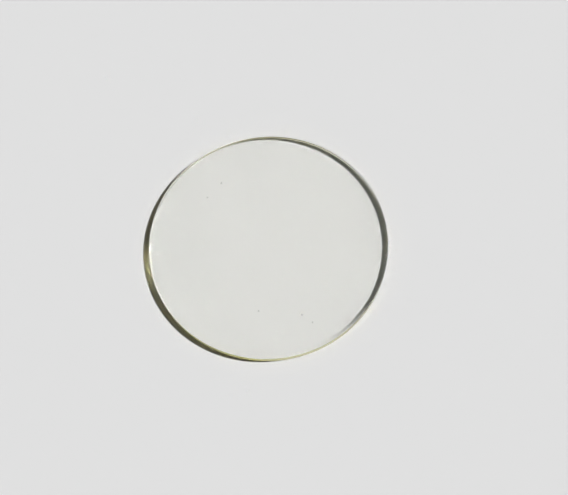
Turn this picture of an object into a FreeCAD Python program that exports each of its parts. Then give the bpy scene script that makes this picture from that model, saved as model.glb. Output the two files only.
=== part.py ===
import FreeCAD, Part

# Flat round watch glass: one disc of clear mineral glass with two plane polished faces.
#
# Units are millimetres. +Z is up, and the origin is the middle of the underside, which is
# the face that the glass lies or seats on. The disc is round, so its whole form is one
# half-section turned about Z: the underside, a fine arris, the ground edge, the polished
# bevel that runs round the upper face, and the upper face.

import math
import os

# Driving sizes
DIAMETER = 29.0             # across the ground edge
THICKNESS = 1.0             # between the two plane faces
BEVEL_WIDTH = 0.17          # polished upper bevel, seen from above
BEVEL_SLOPE_DEG = 45.0      # slope of the bevel below the upper face
ARRIS_WIDTH = 0.07          # seamed lower corner, seen from below
ARRIS_SLOPE_DEG = 45.0      # slope of the arris above the underside
CORNER_RADIUS = 0.03        # rounding that polishing leaves where two surfaces meet


def point(radius, height):
    """A point of the half-section, which lies in the XZ plane."""
    return FreeCAD.Vector(radius, 0, height)


def edge_corners():
    """The corners of the rim, from the underside round to the upper face."""
    rim = DIAMETER / 2
    arris_height = ARRIS_WIDTH * math.tan(math.radians(ARRIS_SLOPE_DEG))
    bevel_height = BEVEL_WIDTH * math.tan(math.radians(BEVEL_SLOPE_DEG))
    return [
        point(rim - ARRIS_WIDTH, 0),
        point(rim, arris_height),
        point(rim, THICKNESS - bevel_height),
        point(rim - BEVEL_WIDTH, THICKNESS),
    ]


def corner_arc(before, corner, after, radius):
    """The arc that rounds a corner, tangent to the two straight lines that meet there."""
    back = (before - corner).normalize()
    ahead = (after - corner).normalize()
    half_angle = back.getAngle(ahead) / 2
    inward = (back + ahead).normalize()
    setback = radius / math.tan(half_angle)
    middle = corner + inward * (radius / math.sin(half_angle) - radius)
    return Part.Arc(corner + back * setback, middle, corner + ahead * setback)


def half_section():
    """The closed face to turn about Z, with each corner of the rim rounded."""
    centre_below, centre_above = point(0, 0), point(0, THICKNESS)
    corners = [centre_below, *edge_corners(), centre_above]
    edges = []
    last = centre_below
    for before, corner, after in zip(corners, corners[1:], corners[2:]):
        arc = corner_arc(before, corner, after, CORNER_RADIUS)
        edges += [Part.LineSegment(last, arc.StartPoint).toShape(), arc.toShape()]
        last = arc.EndPoint
    edges.append(Part.LineSegment(last, centre_above).toShape())
    edges.append(Part.LineSegment(centre_above, centre_below).toShape())
    return Part.Face(Part.Wire(edges))


def glass_disc():
    """The whole glass, turned from its half-section."""
    return half_section().revolve(FreeCAD.Vector(0, 0, 0), FreeCAD.Vector(0, 0, 1), 360)


os.makedirs("parts", exist_ok=True)
glass_disc().exportStep("parts/glass_disc.step")
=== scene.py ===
import math

import bpy
from mathutils import Matrix, Vector


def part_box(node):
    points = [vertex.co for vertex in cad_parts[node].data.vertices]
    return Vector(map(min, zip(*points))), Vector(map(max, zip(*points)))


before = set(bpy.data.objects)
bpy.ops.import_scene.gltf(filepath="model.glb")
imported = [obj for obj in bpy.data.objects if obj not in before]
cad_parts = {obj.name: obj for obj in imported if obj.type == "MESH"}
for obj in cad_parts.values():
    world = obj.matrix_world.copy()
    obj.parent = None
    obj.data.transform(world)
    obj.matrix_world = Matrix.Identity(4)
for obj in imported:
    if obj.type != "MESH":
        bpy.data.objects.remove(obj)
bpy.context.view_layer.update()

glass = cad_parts["glass_disc"]
low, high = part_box("glass_disc")
DIAMETER = high.x - low.x
CENTRE = (low + high) / 2

# Camera: where it stands round the disc, and how large the disc is in the picture
VIEW_ELEVATION = math.radians(68.2)
VIEW_ROLL = math.radians(6.9)
VIEW_DISTANCE = 6.0 * DIAMETER
DISC_SHARE_OF_WIDTH = 0.421
AIM_RIGHT = 0.066 * DIAMETER        # the disc sits a little left of the middle of the picture
AIM_UP = -0.009 * DIAMETER
NEAREST_SEEN = VIEW_DISTANCE / 100

# Light: one small white lamp from the right, as hard as the shadows at the rim need, and a dim fill
LAMP_ZENITH = math.radians(44.0)
LAMP_AZIMUTH = math.radians(1.4)
LAMP_WIDTH = math.radians(5.0)
LAMP_STRENGTH = 3.9
LAMP_COLOUR = (1.0, 1.0, 1.0)
FILL_COLOUR = (0.005, 0.005, 0.005, 1.0)
WALL_COLOUR = (0.76, 0.76, 0.76, 1.0)           # the room, where it is seen or mirrored: low down
CEILING_COLOUR = (0.60, 0.66, 0.61, 1.0)        # and overhead
WALL_TOP = math.sin(math.radians(15.0))         # height at which the wall starts to darken
CEILING_EDGE = math.sin(math.radians(50.0))     # and at which it is as dark as the ceiling

# Floor
FLOOR_SIZE = 200 * DIAMETER
FARTHEST_SEEN = FLOOR_SIZE * 10
FLOOR_GAP = 0.00002                 # the film of air between the glass and the floor
PAPER_COLOUR = (0.80, 0.80, 0.80, 1.0)

# Light paths
GLASS_BOUNCES = 80                  # times that light is mirrored or passed on by the glass
PAPER_BOUNCES = 5
STRONGEST_SAMPLE = 400.0            # limit on one sample of indirect light, which tames bright specks

# Glass
GLASS_IOR = 1.52
ABSORPTION_PER_METRE = 26.0         # of the colour that the glass takes out most
ABSORPTION_COLOUR = (0.85, 0.77, 0.0, 1.0)
FACE_NORMAL_Z = 0.95                # a surface that is flatter than this is one of the two faces
BEVEL_NORMAL_Z = 0.35               # and between the two values it is the bevel or the arris
EDGE_ROUGHNESS = 0.07               # of the ground edge
BEVEL_ROUGHNESS = 0.02
GRINDING_WIDTH = 0.0002             # of a grinding mark, along the rim: the marks run up the edge
GRINDING_HEIGHT = 0.002             # and how far up the edge it runs
GRINDING_DEPTH = 0.000060
GRINDING_DETAIL = 2.0
SMOOTHEST_MARK = 0.6                # roughness of the smoothest mark, as a share of the surface's
MARK_CONTRAST = 0.8                 # and how much rougher the roughest one is

# Dust on the upper face: place from the disc's centre and radius, in diameters, and how opaque it is
DUST = (
    ((-0.167, 0.302), 0.0075, 0.14),
    ((-0.232, 0.243), 0.0070, 0.10),
    ((-0.070, -0.290), 0.0060, 0.12),
    ((0.104, -0.329), 0.0075, 0.35),
    ((0.143, -0.366), 0.0065, 0.10),
)
DUST_COLOUR = (0.28, 0.28, 0.27, 1.0)
CLEAR = (1.0, 1.0, 1.0, 1.0)


def node(tree, kind, inputs=None, **settings):
    """A new shader node with these settings. An input is given a value, or another node's output to link."""
    new = tree.nodes.new(kind)
    for name, value in settings.items():
        setattr(new, name, value)
    for name, value in (inputs or {}).items():
        if isinstance(value, bpy.types.NodeSocket):
            tree.links.new(value, new.inputs[name])
        else:
            new.inputs[name].default_value = value
    return new


def maths(tree, operation, first, second=0.0):
    """The result of a Math node on two values, each a number or another node's output."""
    return node(tree, "ShaderNodeMath", {0: first, 1: second}, operation=operation).outputs[0]


def mix_colours(tree, share, first, second):
    """The first colour with this share of the second mixed in."""
    factor, first_colour, second_colour, result = 0, 6, 7, 2     # sockets of a Mix node set to colours
    inputs = {factor: share, first_colour: first, second_colour: second}
    return node(tree, "ShaderNodeMix", inputs, data_type="RGBA").outputs[result]


def new_material(name):
    """An empty node material and its tree and output."""
    material = bpy.data.materials.new(name)
    material.use_nodes = True
    tree = material.node_tree
    tree.nodes.clear()
    return material, tree, tree.nodes.new("ShaderNodeOutputMaterial")


def ground_edge(tree, normal_z, place):
    """Roughness and normal all over the glass: marks run up the ground edge, and the faces are polished."""
    flatness = maths(tree, "ABSOLUTE", normal_z)
    off_face = maths(tree, "LESS_THAN", flatness, FACE_NORMAL_Z)
    on_bevel = maths(tree, "GREATER_THAN", flatness, BEVEL_NORMAL_Z)
    smoother = maths(tree, "MULTIPLY", on_bevel, EDGE_ROUGHNESS - BEVEL_ROUGHNESS)
    roughness = maths(tree, "SUBTRACT", EDGE_ROUGHNESS, smoother)
    angle = maths(tree, "ARCTAN2", place.outputs["Y"], place.outputs["X"])
    marks = node(tree, "ShaderNodeTexNoise", {
        "Vector": node(tree, "ShaderNodeCombineXYZ", {
            "X": maths(tree, "MULTIPLY", angle, DIAMETER / 2 / GRINDING_WIDTH),
            "Y": maths(tree, "DIVIDE", place.outputs["Z"], GRINDING_HEIGHT),
        }).outputs["Vector"],
        "Scale": 1.0,
        "Detail": GRINDING_DETAIL,
    }).outputs["Fac"]
    unevenness = maths(tree, "ADD", SMOOTHEST_MARK, maths(tree, "MULTIPLY", marks, MARK_CONTRAST))
    roughness = maths(tree, "MULTIPLY", roughness, unevenness)
    bump = node(tree, "ShaderNodeBump", {
        "Strength": off_face,
        "Distance": GRINDING_DEPTH,
        "Height": marks,
    })
    return maths(tree, "MULTIPLY", roughness, off_face), bump.outputs["Normal"]


def dust(tree, place):
    """How much of the upper face is hidden by a few grains of dust."""
    on_top = maths(tree, "GREATER_THAN", place.outputs["Z"], CENTRE.z)
    hidden = 0.0
    for (x, y), radius, opacity in DUST:
        across = maths(tree, "POWER", maths(tree, "SUBTRACT", place.outputs["X"], x * DIAMETER), 2.0)
        along = maths(tree, "POWER", maths(tree, "SUBTRACT", place.outputs["Y"], y * DIAMETER), 2.0)
        distance = maths(tree, "SQRT", maths(tree, "ADD", across, along))
        grain = node(tree, "ShaderNodeMapRange", {
            "Value": distance,
            "From Min": radius * DIAMETER,
            "From Max": 0.0,
            "To Max": opacity,
        }, interpolation_type="SMOOTHSTEP").outputs["Result"]
        hidden = maths(tree, "MAXIMUM", grain, hidden)
    return maths(tree, "MULTIPLY", hidden, on_top)


def glass_material():
    """Clear glass: polished faces, a ground edge, a yellow-green depth colour and a little dust."""
    material, tree, output = new_material("clear_glass")
    texture = tree.nodes.new("ShaderNodeTexCoord")
    normal_z = node(tree, "ShaderNodeSeparateXYZ", {"Vector": texture.outputs["Normal"]}).outputs["Z"]
    place = node(tree, "ShaderNodeSeparateXYZ", {"Vector": texture.outputs["Object"]})
    roughness, normal = ground_edge(tree, normal_z, place)
    hidden = dust(tree, place)
    shader = node(tree, "ShaderNodeBsdfPrincipled", {
        "Base Color": mix_colours(tree, hidden, CLEAR, DUST_COLOUR),
        "IOR": GLASS_IOR,
        "Transmission Weight": maths(tree, "SUBTRACT", 1.0, hidden),
        "Roughness": roughness,
        "Normal": normal,
    })
    depth = node(tree, "ShaderNodeVolumeAbsorption", {
        "Color": ABSORPTION_COLOUR,
        "Density": ABSORPTION_PER_METRE,
    })
    tree.links.new(shader.outputs["BSDF"], output.inputs["Surface"])
    tree.links.new(depth.outputs["Volume"], output.inputs["Volume"])
    return material


def paper_material():
    """Matt pale paper."""
    material, tree, output = new_material("pale_paper")
    shader = node(tree, "ShaderNodeBsdfDiffuse", {"Color": PAPER_COLOUR})
    tree.links.new(shader.outputs["BSDF"], output.inputs["Surface"])
    return material


def add_floor():
    """A pale plane just under the disc."""
    half = FLOOR_SIZE / 2
    corners = [(-half, -half, 0), (half, -half, 0), (half, half, 0), (-half, half, 0)]
    mesh = bpy.data.meshes.new("floor")
    mesh.from_pydata(corners, [], [(0, 1, 2, 3)])
    mesh.materials.append(paper_material())
    floor = bpy.data.objects.new("floor", mesh)
    floor.location.z = low.z - FLOOR_GAP
    bpy.context.scene.collection.objects.link(floor)


def add_lamp():
    """The lamp, far away towards the right of the picture."""
    lamp = bpy.data.lights.new("lamp", "SUN")
    lamp.energy, lamp.angle, lamp.color = LAMP_STRENGTH, LAMP_WIDTH, LAMP_COLOUR
    holder = bpy.data.objects.new("lamp", lamp)
    flat = math.sin(LAMP_ZENITH)
    towards = Vector((flat * math.cos(LAMP_AZIMUTH), flat * math.sin(LAMP_AZIMUTH), math.cos(LAMP_ZENITH)))
    holder.rotation_euler = towards.to_track_quat("Z", "Y").to_euler()
    bpy.context.scene.collection.objects.link(holder)


def set_room():
    """A room that looks pale where it is seen or mirrored, and lights the floor only a little."""
    world = bpy.data.worlds.new("room")
    world.use_nodes = True
    tree = world.node_tree
    tree.nodes.clear()
    path = tree.nodes.new("ShaderNodeLightPath")
    seen = maths(tree, "LESS_THAN", path.outputs["Diffuse Depth"], 0.5)
    texture = tree.nodes.new("ShaderNodeTexCoord")
    height = node(tree, "ShaderNodeSeparateXYZ", {"Vector": texture.outputs["Generated"]}).outputs["Z"]
    overhead = node(tree, "ShaderNodeMapRange", {
        "Value": height,
        "From Min": WALL_TOP,
        "From Max": CEILING_EDGE,
    }, interpolation_type="SMOOTHSTEP").outputs["Result"]
    room = mix_colours(tree, overhead, WALL_COLOUR, CEILING_COLOUR)
    background = node(tree, "ShaderNodeBackground", {"Color": mix_colours(tree, seen, FILL_COLOUR, room)})
    output = tree.nodes.new("ShaderNodeOutputWorld")
    tree.links.new(background.outputs["Background"], output.inputs["Surface"])
    bpy.context.scene.world = world


def add_camera():
    """The camera, looking down at the disc from the front and rolled a little."""
    back = Vector((0, -math.cos(VIEW_ELEVATION), math.sin(VIEW_ELEVATION)))
    right = Vector((1, 0, 0))
    up = back.cross(right)
    turn = Matrix.Rotation(-VIEW_ROLL, 3, back)
    right, up = turn @ right, turn @ up
    aim = CENTRE + AIM_RIGHT * right + AIM_UP * up
    camera = bpy.data.cameras.new("camera")
    camera.lens = camera.sensor_width * DISC_SHARE_OF_WIDTH * VIEW_DISTANCE / DIAMETER
    camera.clip_start = NEAREST_SEEN
    camera.clip_end = FARTHEST_SEEN
    holder = bpy.data.objects.new("camera", camera)
    axes = Matrix((right, up, back)).transposed().to_4x4()
    holder.matrix_world = Matrix.Translation(aim + back * VIEW_DISTANCE) @ axes
    bpy.context.scene.collection.objects.link(holder)
    bpy.context.scene.camera = holder


def set_light_paths():
    """Lets light cross the disc inside the glass, where it is mirrored many times, and leave at its edge."""
    cycles = bpy.context.scene.cycles
    cycles.max_bounces = cycles.transmission_bounces = cycles.glossy_bounces = GLASS_BOUNCES
    cycles.diffuse_bounces = PAPER_BOUNCES
    cycles.blur_glossy = 0.0
    cycles.sample_clamp_indirect = STRONGEST_SAMPLE
    cycles.use_guiding = True


glass.material_slots[0].material = glass_material()
add_floor()
add_lamp()
set_room()
add_camera()
set_light_paths()
bpy.context.scene.view_settings.view_transform = "Standard"
